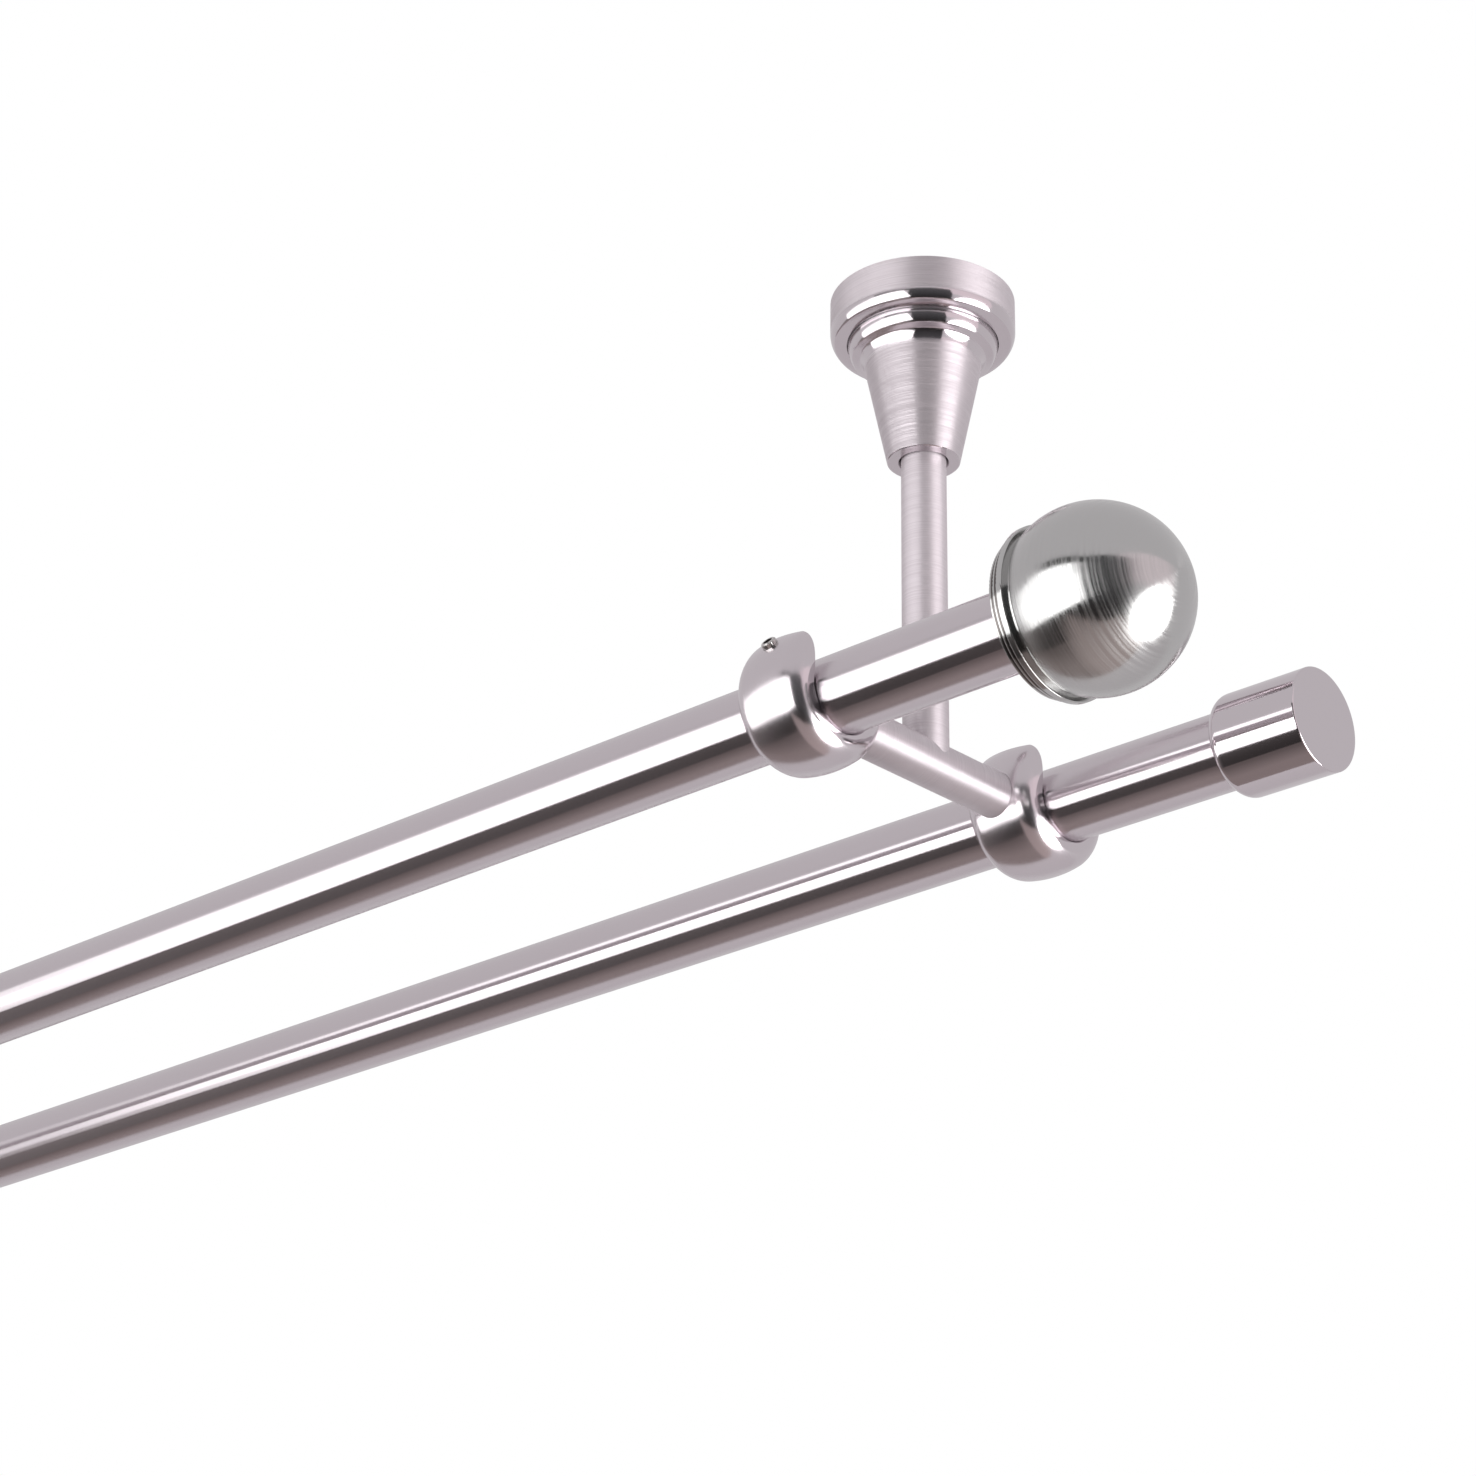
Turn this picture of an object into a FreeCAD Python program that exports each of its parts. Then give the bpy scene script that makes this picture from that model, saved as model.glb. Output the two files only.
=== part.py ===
import FreeCAD, Part
import os
import Sketcher

# Double curtain pole for a ceiling: a front and a rear pole, carried side by side by two brackets.
# +X runs along the poles to the right-hand ends, -Y faces the room and +Z is up.
# The origin is the middle of the right-hand bracket's ceiling face. Lengths are millimetres.

SIZES = {
    # Poles: length, section, distance between their axes, and the axes' drop below the ceiling
    "pole_length": 1000,
    "pole_dia": 20,
    "pole_wall": 1,
    "pole_spacing": 87,
    "pole_drop": 133,
    "pole_overhang": 75,
    # Radial clearance of what slides, screws or presses into something else
    "fit_gap": 0.05,
    # Ceiling plate with its threaded hub
    "plate_thickness": 5,
    "hub_dia": 18.5,
    "hub_length": 12,
    "hub_floor": 1,
    "plate_hole_dia": 4.5,
    "plate_sink_dia": 8.4,
    "plate_sink_angle": 90,
    "plate_hole_count": 3,
    # Rose that covers the plate
    "rose_dia": 48.8,
    "rose_height": 12.6,
    "rose_wall": 1.6,
    "rose_edge_radius": 3,
    # Cone that hangs in the rose's opening: its ring stands in from the rose, and its wall from the ring.
    # The cove between ring and wall is sized by the width that the ring's rounded edge leaves.
    "ring_inset": 4.7,
    "ring_gap": 0.25,
    "ring_drop": 4,
    "ring_edge_radius": 2.2,
    "flange_width": 2,
    "flange_thickness": 1.5,
    "cone_inset": 3.9,
    "cone_foot_dia": 19,
    "cone_foot_drop": 47.8,
    "cone_wall": 1.6,
    "cone_hole_dia": 12.8,
    "cove_share": 1.1,
    # Stem and arm, joined by a stud
    "stem_dia": 11.8,
    "arm_dia": 12,
    "stud_dia": 6,
    "stud_length": 20,
    "stud_arm_depth": 8,
    # Saddle that holds a pole: a crowned barrel with an open-topped bore, its tips above the pole
    "saddle_length": 21.9,
    "saddle_wall": 7.7,
    "saddle_crown": 2,
    "barrel_rise": 0.9,
    "shoulder_radius": 6,
    "bore_gap": 0.35,
    "tip_rise": 4.2,
    "arm_web": 1.6,
    "saddle_lip": 0.35,
    # Socket screws that hold the poles in the saddles
    "saddle_screw_dia": 4,
    "saddle_screw_length": 9.4,
    "saddle_screw_angle": 38,
    "saddle_socket_width": 2.3,
    "saddle_socket_depth": 2,
    # Ball finial of the front pole, its ringed collar, stud and plug. The seat angle runs
    # from the pole's axis to the rim of the ball's flat, and the collar stands out round that rim.
    "ball_dia": 45,
    "ball_seat_angle": 65.7,
    "collar_lip": 0.8,
    "collar_length": 6.6,
    "collar_seat": 3.6,
    "collar_ring_count": 3,
    "collar_step": 0.9,
    "collar_neck_width": 1.6,
    "collar_neck_depth": 0.6,
    "groove_width": 0.4,
    "groove_depth": 0.5,
    "plug_length": 20,
    "finial_stud_dia": 6,
    "finial_stud_length": 28,
    "finial_stud_reach": 8,
    # Cap of the rear pole and its screw
    "cap_wall": 3.4,
    "cap_length": 26.1,
    "cap_seat": 11.9,
    "cap_end_wall": 3,
    "cap_stop": 2,
    "cap_shoulder_radius": 3,
    "cap_edge_radius": 0.4,
    "cap_screw_dia": 4,
    "cap_screw_length": 3,
    "cap_screw_angle": 45,
    "cap_screw_inset": 6,
    "cap_socket_width": 2,
    "cap_socket_depth": 1.8,
    # Small broken edges of turned pieces
    "edge_break": 0.3,
}

# Places that several pieces share, written with the names above
POLE_RADIUS = "dim.pole_dia / 2"
SPAN = "(dim.pole_length - 2 * dim.pole_overhang)"
BORE_RADIUS = "(dim.pole_dia / 2 + dim.bore_gap)"
BORE_RISE = "(dim.bore_gap - dim.fit_gap)"
ARM_REACH = f"(dim.pole_spacing / 2 - {BORE_RADIUS} - dim.arm_web)"
ROSE_INNER = "(dim.rose_dia / 2 - dim.rose_wall)"
PLATE_RADIUS = f"({ROSE_INNER} - dim.fit_gap)"
RING_RADIUS = "(dim.rose_dia / 2 - dim.ring_inset)"
RING_FOOT = "(dim.rose_height + dim.ring_drop)"
FLANGE_SEAT = "(dim.rose_height - dim.rose_wall)"
STEM_TOP = "(dim.plate_thickness + dim.hub_floor)"
COLLAR_FRONT = "(dim.collar_length - dim.collar_seat)"
BALL_FLAT = "(dim.ball_dia / 2 * cos(dim.ball_seat_angle))"
BALL_SEAT = "(dim.ball_dia / 2 * sin(dim.ball_seat_angle))"

doc = FreeCAD.newDocument("double_curtain_pole")


def make_sheet():
    sheet = doc.addObject("Spreadsheet::Sheet", "dim")
    for row, (name, value) in enumerate(SIZES.items(), start=1):
        sheet.set(f"A{row}", name)
        sheet.set(f"B{row}", str(value))
        sheet.setAlias(f"B{row}", name)
    doc.recompute()
    return sheet


sheet = make_sheet()


def number(text):
    value = sheet.evalExpression(str(text))
    return float(getattr(value, "Value", value))


def bind(thing, **values):
    """Bind properties to size expressions; a double underscore stands for a dot."""
    for name, text in values.items():
        thing.setExpression(name.replace("__", "."), str(text))


def place(thing, x="0", y="0", z="0", axis=(0, 0, 1), angle="0"):
    thing.Placement = FreeCAD.Placement(FreeCAD.Vector(), FreeCAD.Rotation(FreeCAD.Vector(*axis), 1))
    bind(thing, Placement__Base__x=x, Placement__Base__y=y, Placement__Base__z=z,
         Placement__Rotation__Angle=angle)


def new_body(label):
    body = doc.addObject("PartDesign::Body", label)
    body.Label = label
    return body


def new_sketch(body, role, name, offset=None):
    """Sketch on one of the body's own origin planes, moved off it by an expression."""
    sketch = body.newObject("Sketcher::SketchObject", name)
    plane = next(item for item in body.Origin.OriginFeatures if item.Role == role)
    sketch.AttachmentSupport = [(plane, "")]
    sketch.MapMode = "FlatFace"
    if offset:
        bind(sketch, AttachmentOffset__Base__z=offset)
    return sketch


def fix_point(sketch, geometry, end, x, y):
    """Tie one point of a sketch to its two coordinates, both of them expressions."""
    for kind, text in (("DistanceX", x), ("DistanceY", y)):
        index = sketch.addConstraint(Sketcher.Constraint(kind, -1, 1, geometry, end, number(text)))
        sketch.setExpression(f"Constraints[{index}]", text)


def draw_outline(sketch, corners, arcs=None):
    """Closed outline through the corners; arcs gives the radius of the sides that bulge."""
    arcs = arcs or {}
    spots = [FreeCAD.Vector(number(x), number(y)) for x, y in corners]
    sides = []
    for index, start in enumerate(spots):
        end = spots[(index + 1) % len(spots)]
        if index not in arcs:
            sides.append((sketch.addGeometry(Part.LineSegment(start, end)), 1, 2))
            continue
        radius = number(arcs[index])
        chord = end - start
        outward = FreeCAD.Vector(chord.y, -chord.x).normalize()
        rise = max(radius ** 2 - (chord.Length / 2) ** 2, 0) ** 0.5
        middle = start + chord / 2 + outward * (radius - rise)
        side = sketch.addGeometry(Part.Arc(start, middle, end))
        starts_at_first = sketch.getPoint(side, 1).distanceToPoint(start) < 1e-6
        sides.append((side, 1, 2) if starts_at_first else (side, 2, 1))
    for index, (side, start, end) in enumerate(sides):
        following = sides[(index + 1) % len(sides)]
        sketch.addConstraint(Sketcher.Constraint("Coincident", side, end, following[0], following[1]))
        fix_point(sketch, side, start, *corners[index])
        if index in arcs:
            row = sketch.addConstraint(Sketcher.Constraint("Radius", side, number(arcs[index])))
            sketch.setExpression(f"Constraints[{row}]", arcs[index])


def draw_circle(sketch, radius, x="0", y="0"):
    centre = FreeCAD.Vector(number(x), number(y))
    circle = Part.Circle(centre, FreeCAD.Vector(0, 0, 1), number(radius))
    geometry = sketch.addGeometry(circle)
    row = sketch.addConstraint(Sketcher.Constraint("Radius", geometry, number(radius)))
    sketch.setExpression(f"Constraints[{row}]", radius)
    fix_point(sketch, geometry, 3, x, y)


def revolve(body, corners, axis, arcs=None):
    """Turned solid: an outline on the XZ plane, revolved about its horizontal or vertical axis."""
    sketch = new_sketch(body, "XZ_Plane", "profile")
    draw_outline(sketch, corners, arcs)
    turned = body.newObject("PartDesign::Revolution", "turned")
    turned.Profile = sketch
    turned.ReferenceAxis = (sketch, [axis])
    turned.Angle = 360
    sketch.Visibility = False
    doc.recompute()
    return turned


def pad(body, sketch, length):
    solid = body.newObject("PartDesign::Pad", "pad")
    solid.Profile = sketch
    solid.Midplane = True
    bind(solid, Length=length)
    doc.recompute()


def pocket(body, sketch, length, midplane=False, reverse=False):
    """Cut a sketch out of the body and make sure that the cut took something away."""
    before = body.Tip.Shape.Volume
    cut = body.newObject("PartDesign::Pocket", "cut")
    cut.Profile = sketch
    cut.Midplane = midplane
    cut.Reversed = reverse
    bind(cut, Length=length)
    doc.recompute()
    assert cut.Shape.Volume < before, f"{body.Label}: a pocket cuts nothing"
    return cut


def bore(body, radius, length, x="0", y="0", z="0", axis=(0, 0, 1), angle="0"):
    """Round hole that starts at a point and runs along the turned Z axis."""
    before = body.Tip.Shape.Volume
    hole = body.newObject("PartDesign::SubtractiveCylinder", "bore")
    bind(hole, Radius=radius, Height=length)
    place(hole, x, y, z, axis, angle)
    doc.recompute()
    assert hole.Shape.Volume < before, f"{body.Label}: a bore cuts nothing"


def rings(body, places, axis):
    """Names of the round edges about an axis with the given radius and position along it."""
    wanted = [(number(radius), number(where)) for radius, where in places]
    found = []
    for index, edge in enumerate(body.Tip.Shape.Edges, start=1):
        if not isinstance(edge.Curve, Part.Circle):
            continue
        spot = (edge.Curve.Radius, getattr(edge.Curve.Center, axis))
        if any(abs(spot[0] - r) < 1e-3 and abs(spot[1] - w) < 1e-3 for r, w in wanted):
            found.append(f"Edge{index}")
    assert len(found) >= len(wanted), f"{body.Label}: an edge to round is missing"
    return found


def dress(body, kind, size, places, axis):
    """Fillet or chamfer the round edges that places lists as radius and position."""
    base = (body.Tip, rings(body, places, axis))
    feature = body.newObject(f"PartDesign::{kind}", kind.lower())
    feature.Base = base
    bind(feature, **{"Radius" if kind == "Fillet" else "Size": size})
    doc.recompute()


def mount_x(side):
    """Bracket's middle plane along the poles."""
    return "0" if side == "right" else f"-{SPAN}"


def at_pole_end(body, side, y, beyond="0"):
    """Put a piece at the end of a pole or beyond it, its own X axis pointing away from the bracket."""
    x = f"(dim.pole_overhang + {beyond})"
    if side == "left":
        x = f"-({SPAN} + {x})"
    place(body, x, y, "-dim.pole_drop", angle="0" if side == "right" else "180")


def make_ceiling_plate(side):
    """Turned disc with a hub below it, bored for the stem, and countersunk ceiling holes."""
    body = new_body(f"{side}_ceiling_plate")
    hub = "dim.hub_dia / 2"
    hub_foot = "-(dim.plate_thickness + dim.hub_length)"
    socket = "(dim.stem_dia / 2 + dim.fit_gap)"
    revolve(body, [
        ("0", "0"),
        ("0", f"-{STEM_TOP}"),
        (socket, f"-{STEM_TOP}"),
        (socket, hub_foot),
        (hub, hub_foot),
        (hub, "-dim.plate_thickness"),
        (PLATE_RADIUS, "-dim.plate_thickness"),
        (PLATE_RADIUS, "0"),
    ], "V_Axis")
    spots = new_sketch(body, "XY_Plane", "hole_spot", "-dim.plate_thickness")
    draw_circle(spots, "dim.plate_hole_dia / 2", f"({hub} + {PLATE_RADIUS}) / 2")
    hole = body.newObject("PartDesign::Hole", "hole")
    hole.Profile = spots
    doc.recompute()
    hole.Reversed = True
    hole.DepthType = "ThroughAll"
    hole.HoleCutType = "Countersink"
    hole.HoleCutCustomValues = True
    bind(hole, Diameter="dim.plate_hole_dia", HoleCutDiameter="dim.plate_sink_dia")
    bind(hole, HoleCutCountersinkAngle="dim.plate_sink_angle")
    doc.recompute()
    pattern = body.newObject("PartDesign::PolarPattern", "hole_circle")
    pattern.Originals = [hole]
    pattern.Axis = (spots, ["N_Axis"])
    pattern.Angle = 360
    bind(pattern, Occurrences="dim.plate_hole_count")
    body.Tip = pattern
    place(body, mount_x(side))


def make_rose(side):
    """Turned cover with a rounded lower edge, open at the foot for the cone's ring."""
    body = new_body(f"{side}_rose")
    outer = "dim.rose_dia / 2"
    opening = f"({RING_RADIUS} + dim.ring_gap)"
    revolve(body, [
        (ROSE_INNER, "0"),
        (ROSE_INNER, f"-{FLANGE_SEAT}"),
        (opening, f"-{FLANGE_SEAT}"),
        (opening, "-dim.rose_height"),
        (outer, "-dim.rose_height"),
        (outer, "0"),
    ], "V_Axis")
    dress(body, "Fillet", "dim.rose_edge_radius", [(outer, "-dim.rose_height")], "z")
    dress(body, "Fillet", "dim.edge_break", [(outer, "0"), (opening, "-dim.rose_height")], "z")
    place(body, mount_x(side))


def make_cone(side):
    """Hollow cone below a rounded ring; its flange lies on the rose's inner lip."""
    body = new_body(f"{side}_cone")
    ring = RING_RADIUS
    ring_foot = f"-{RING_FOOT}"
    flange = f"({RING_RADIUS} + dim.flange_width)"
    flange_top = f"-({FLANGE_SEAT} - dim.flange_thickness)"
    top = f"({RING_RADIUS} - dim.cone_inset)"
    foot = "dim.cone_foot_dia / 2"
    foot_level = "-dim.cone_foot_drop"
    floor_level = "-(dim.cone_foot_drop - dim.cone_wall)"
    hole = "dim.cone_hole_dia / 2"
    revolve(body, [
        (f"{top} - dim.cone_wall", flange_top),
        (f"{top} - dim.cone_wall", ring_foot),
        (f"{foot} - dim.cone_wall", floor_level),
        (hole, floor_level),
        (hole, foot_level),
        (foot, foot_level),
        (top, ring_foot),
        (ring, ring_foot),
        (ring, f"-{FLANGE_SEAT}"),
        (flange, f"-{FLANGE_SEAT}"),
        (flange, flange_top),
    ], "V_Axis")
    dress(body, "Fillet", "dim.ring_edge_radius", [(ring, ring_foot)], "z")
    dress(body, "Fillet", "dim.cove_share * (dim.cone_inset - dim.ring_edge_radius)", [(top, ring_foot)], "z")
    dress(body, "Chamfer", "dim.edge_break", [(foot, foot_level), (hole, foot_level)], "z")
    place(body, mount_x(side))


def make_stem(side):
    """Rod from the hub down to the arm, its foot coped to sit on the arm's round side."""
    body = new_body(f"{side}_stem")
    middle = f"-({STEM_TOP} + dim.pole_drop) / 2"
    section = new_sketch(body, "XY_Plane", "section", middle)
    draw_circle(section, "dim.stem_dia / 2")
    pad(body, section, f"dim.pole_drop - {STEM_TOP}")
    cope = new_sketch(body, "XZ_Plane", "cope")
    draw_circle(cope, "dim.arm_dia / 2", "0", "-dim.pole_drop")
    pocket(body, cope, "2 * dim.stem_dia", midplane=True)
    bore(body, "dim.stud_dia / 2", "dim.stud_length",
         z="-dim.pole_drop + dim.arm_dia / 2 - dim.stud_arm_depth")
    place(body, mount_x(side))


def make_arm(side):
    """Rod that crosses under the stem and ends inside the walls of both saddles."""
    body = new_body(f"{side}_arm")
    section = new_sketch(body, "XZ_Plane", "section")
    draw_circle(section, "dim.arm_dia / 2")
    pad(body, section, f"2 * {ARM_REACH}")
    bore(body, "dim.stud_dia / 2", "dim.stud_length", z="dim.arm_dia / 2 - dim.stud_arm_depth")
    place(body, mount_x(side), z="-dim.pole_drop")


def make_arm_stud(side):
    """Stud hidden in the joint of stem and arm."""
    body = new_body(f"{side}_arm_stud")
    section = new_sketch(body, "XY_Plane", "section")
    draw_circle(section, "dim.stud_dia / 2 - dim.fit_gap")
    pad(body, section, "dim.stud_length")
    place(body, mount_x(side),
          z="-dim.pole_drop + dim.arm_dia / 2 - dim.stud_arm_depth + dim.stud_length / 2")


def make_saddle(side, row):
    """Crowned barrel with a bore for the pole, milled open at the top to leave two wall tips."""
    body = new_body(f"{side}_{row}_saddle")
    end = "dim.saddle_length / 2"
    tall = f"({POLE_RADIUS} + dim.saddle_wall)"
    low = f"({tall} - dim.saddle_crown)"
    clear = f"2 * {tall}"
    crown = f"((dim.saddle_length / 2) ^ 2 + ({tall} - {low}) ^ 2) / (2 * ({tall} - {low}))"
    corners = [(f"-{end}", "0"), (end, "0"), (end, low), (f"-{end}", low)]
    revolve(body, corners, "H_Axis", arcs={2: crown})
    dress(body, "Fillet", "dim.shoulder_radius", [(low, f"-{end}"), (low, end)], "x")
    pole_level = "-dim.barrel_rise"
    bore_level = f"({pole_level} + {BORE_RISE})"
    round_bore = new_sketch(body, "YZ_Plane", "round_bore")
    draw_circle(round_bore, BORE_RADIUS, "0", bore_level)
    pocket(body, round_bore, "2 * dim.saddle_length", midplane=True)
    slot = new_sketch(body, "YZ_Plane", "slot")
    draw_outline(slot, [
        (f"-{BORE_RADIUS}", bore_level),
        (BORE_RADIUS, bore_level),
        (BORE_RADIUS, clear),
        (f"-{BORE_RADIUS}", clear),
    ])
    pocket(body, slot, "2 * dim.saddle_length", midplane=True)
    tips = new_sketch(body, "YZ_Plane", "tips")
    tip_level = f"{pole_level} + {POLE_RADIUS} + dim.tip_rise"
    draw_outline(tips, [
        (f"-{clear}", tip_level),
        (clear, tip_level),
        (clear, clear),
        (f"-{clear}", clear),
    ])
    pocket(body, tips, "2 * dim.saddle_length", midplane=True)
    for way in ("-", ""):
        lip = body.newObject("PartDesign::SubtractiveCone", "lip")
        bind(lip, Radius1=f"{BORE_RADIUS} + dim.saddle_lip", Radius2=BORE_RADIUS, Height="dim.saddle_lip")
        place(lip, f"{way}{end}", "0", bore_level, axis=(0, 1, 0), angle="90" if way else "-90")
        doc.recompute()
    bore(body, "dim.arm_dia / 2 + dim.fit_gap", clear,
         y=f"-({BORE_RADIUS} + dim.arm_web)", z=pole_level, axis=(1, 0, 0), angle="90")
    bore(body, "dim.saddle_screw_dia / 2 + dim.fit_gap", clear,
         z=pole_level, axis=(1, 0, 0), angle="dim.saddle_screw_angle - 90")
    y, turn = ("-dim.pole_spacing / 2", "180") if row == "front" else ("dim.pole_spacing / 2", "0")
    place(body, mount_x(side), y, "-dim.pole_drop + dim.barrel_rise", angle=turn)


def screw_body(label, name):
    """Headless screw along its own Z axis, its point at the origin, a hexagon socket in its end."""
    body = new_body(label)
    radius = f"dim.{name}_screw_dia / 2"
    length = f"dim.{name}_screw_length"
    revolve(body, [("0", "0"), (radius, "0"), (radius, length), ("0", length)], "V_Axis")
    dress(body, "Chamfer", "dim.edge_break", [(radius, "0"), (radius, length)], "z")
    flat = f"dim.{name}_socket_width / 2"
    corner = f"dim.{name}_socket_width / sqrt(3)"
    socket = new_sketch(body, "XY_Plane", "socket", length)
    draw_outline(socket, [
        (corner, "0"),
        (f"{corner} / 2", flat),
        (f"-{corner} / 2", flat),
        (f"-{corner}", "0"),
        (f"-{corner} / 2", f"-{flat}"),
        (f"{corner} / 2", f"-{flat}"),
    ])
    pocket(body, socket, f"dim.{name}_socket_depth")
    return body


def make_saddle_screw(side, row):
    """Screw through the outer wall of a saddle, slanting down on to the pole."""
    body = screw_body(f"{side}_{row}_screw", "saddle")
    reach = f"({POLE_RADIUS} + dim.fit_gap)"
    outward = f"(dim.pole_spacing / 2 + {reach} * cos(dim.saddle_screw_angle))"
    height = f"-dim.pole_drop + {reach} * sin(dim.saddle_screw_angle)"
    y, lean = (f"-{outward}", "90 - dim.saddle_screw_angle")
    if row == "rear":
        y, lean = (outward, "dim.saddle_screw_angle - 90")
    place(body, mount_x(side), y, height, axis=(1, 0, 0), angle=lean)


def make_pole(row):
    """Round tube."""
    body = new_body(f"{row}_pole")
    section = new_sketch(body, "YZ_Plane", "section")
    draw_circle(section, POLE_RADIUS)
    draw_circle(section, f"{POLE_RADIUS} - dim.pole_wall")
    pad(body, section, "dim.pole_length")
    y = "-dim.pole_spacing / 2" if row == "front" else "dim.pole_spacing / 2"
    place(body, f"-{SPAN} / 2", y, "-dim.pole_drop")


def make_collar(side):
    """Turned collar between pole and ball: rings that grow towards the ball, then a narrower neck."""
    body = new_body(f"{side}_collar")
    seat = f"({POLE_RADIUS} + dim.fit_gap)"
    hole = "(dim.finial_stud_dia / 2 + dim.fit_gap)"
    count = SIZES["collar_ring_count"]
    pitch = "(dim.collar_length - dim.collar_neck_width) / dim.collar_ring_count"
    neck = f"({BALL_SEAT} - dim.collar_neck_depth)"
    outline = [(seat, "0"), (seat, "-dim.collar_seat")]
    edges = []
    for ring in range(count):
        radius = f"({BALL_SEAT} + dim.collar_lip - {count - 1 - ring} * dim.collar_step)"
        start = f"({ring} * {pitch} - dim.collar_seat)"
        finish = f"({ring + 1} * {pitch} - dim.collar_seat)"
        groove = f"({radius} - dim.groove_depth)"
        if ring < count - 1:
            stop = f"{finish} - dim.groove_width"
            outline += [(radius, start), (radius, stop), (groove, stop), (groove, finish)]
        else:
            stop = finish
            outline += [(radius, start), (radius, stop), (neck, stop), (neck, COLLAR_FRONT)]
        edges += [(radius, start), (radius, stop)]
    outline += [(hole, COLLAR_FRONT), (hole, "0")]
    revolve(body, [(x, radius) for radius, x in reversed(outline)], "H_Axis")
    dress(body, "Fillet", "dim.edge_break", edges, "x")
    at_pole_end(body, side, "-dim.pole_spacing / 2")


def make_ball(side):
    """Ball, cut flat where it stands on the collar and bored for the stud."""
    body = new_body(f"{side}_ball")
    radius = "dim.ball_dia / 2"
    hole = "(dim.finial_stud_dia / 2 + dim.fit_gap)"
    bottom = f"dim.finial_stud_reach - {BALL_FLAT}"
    revolve(body, [
        (bottom, "0"),
        (radius, "0"),
        (f"-{BALL_FLAT}", BALL_SEAT),
        (f"-{BALL_FLAT}", hole),
        (bottom, hole),
    ], "H_Axis", arcs={1: radius})
    at_pole_end(body, side, "-dim.pole_spacing / 2", beyond=f"({COLLAR_FRONT} + {BALL_FLAT})")


def make_finial_stud(side):
    """Threaded stud from the plug through the collar into the ball."""
    body = new_body(f"{side}_finial_stud")
    radius = "dim.finial_stud_dia / 2"
    finish = f"{COLLAR_FRONT} + dim.finial_stud_reach"
    start = f"{finish} - dim.finial_stud_length"
    revolve(body, [(start, "0"), (finish, "0"), (finish, radius), (start, radius)], "H_Axis")
    dress(body, "Chamfer", "dim.edge_break", [(radius, start), (radius, finish)], "x")
    at_pole_end(body, side, "-dim.pole_spacing / 2")


def make_plug(side):
    """Plug pressed into the pole's end, which carries the stud."""
    body = new_body(f"{side}_plug")
    outer = f"{POLE_RADIUS} - dim.pole_wall - dim.fit_gap"
    inner = "dim.finial_stud_dia / 2 + dim.fit_gap"
    start = "-dim.plug_length"
    revolve(body, [(start, inner), ("0", inner), ("0", outer), (start, outer)], "H_Axis")
    dress(body, "Chamfer", "dim.edge_break", [(outer, start)], "x")
    at_pole_end(body, side, "-dim.pole_spacing / 2")


def make_cap(side):
    """Hollow turned cap with a flat face and a rounded shoulder towards the bracket."""
    body = new_body(f"{side}_cap")
    outer = f"({POLE_RADIUS} + dim.cap_wall)"
    seat = f"({POLE_RADIUS} + dim.fit_gap)"
    cavity = f"({POLE_RADIUS} - dim.cap_stop)"
    face = "(dim.cap_length - dim.cap_seat)"
    cavity_end = f"({face} - dim.cap_end_wall)"
    revolve(body, [
        (cavity_end, "0"),
        (face, "0"),
        (face, outer),
        ("-dim.cap_seat", outer),
        ("-dim.cap_seat", seat),
        ("0", seat),
        ("0", cavity),
        (cavity_end, cavity),
    ], "H_Axis")
    dress(body, "Fillet", "dim.cap_shoulder_radius", [(outer, "-dim.cap_seat")], "x")
    dress(body, "Fillet", "dim.cap_edge_radius", [(outer, face)], "x")
    lean = "dim.cap_screw_angle - 90" if side == "right" else "90 - dim.cap_screw_angle"
    bore(body, "dim.cap_screw_dia / 2 + dim.fit_gap", f"2 * {outer}",
         x="-dim.cap_screw_inset", axis=(1, 0, 0), angle=lean)
    at_pole_end(body, side, "dim.pole_spacing / 2")


def make_cap_screw(side):
    """Screw on the far side of a cap, which holds it on the pole."""
    body = screw_body(f"{side}_cap_screw", "cap")
    reach = f"({POLE_RADIUS} + dim.fit_gap)"
    inset = "(dim.pole_overhang - dim.cap_screw_inset)"
    x = inset if side == "right" else f"-({SPAN} + {inset})"
    place(body, x, f"dim.pole_spacing / 2 + {reach} * cos(dim.cap_screw_angle)",
          f"-dim.pole_drop + {reach} * sin(dim.cap_screw_angle)",
          axis=(1, 0, 0), angle="dim.cap_screw_angle - 90")


for side in ("right", "left"):
    make_ceiling_plate(side)
    make_rose(side)
    make_cone(side)
    make_stem(side)
    make_arm(side)
    make_arm_stud(side)
    for row in ("front", "rear"):
        make_saddle(side, row)
        make_saddle_screw(side, row)
    make_collar(side)
    make_ball(side)
    make_finial_stud(side)
    make_plug(side)
    make_cap(side)
    make_cap_screw(side)
for row in ("front", "rear"):
    make_pole(row)
doc.recompute()

for thing in doc.Objects:
    assert not {"Invalid", "Error"} & set(thing.State), f"{thing.Label} did not build"
bodies = [thing for thing in doc.Objects if thing.TypeId == "PartDesign::Body"]
os.makedirs("parts", exist_ok=True)
for body in bodies:
    shape = body.Shape
    assert not shape.isNull() and shape.isValid() and len(shape.Solids) == 1, f"{body.Label} is no solid"
    shape.exportStep(f"parts/{body.Label}.step")
    print(f"{body.Label}: {shape.Volume / 1000:.2f} cm3")
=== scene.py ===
"""Double curtain pole on two ceiling brackets, satin nickel, seen from below and from the right."""
import math

import bpy
import numpy as np
from mathutils import Matrix, Vector


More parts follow.
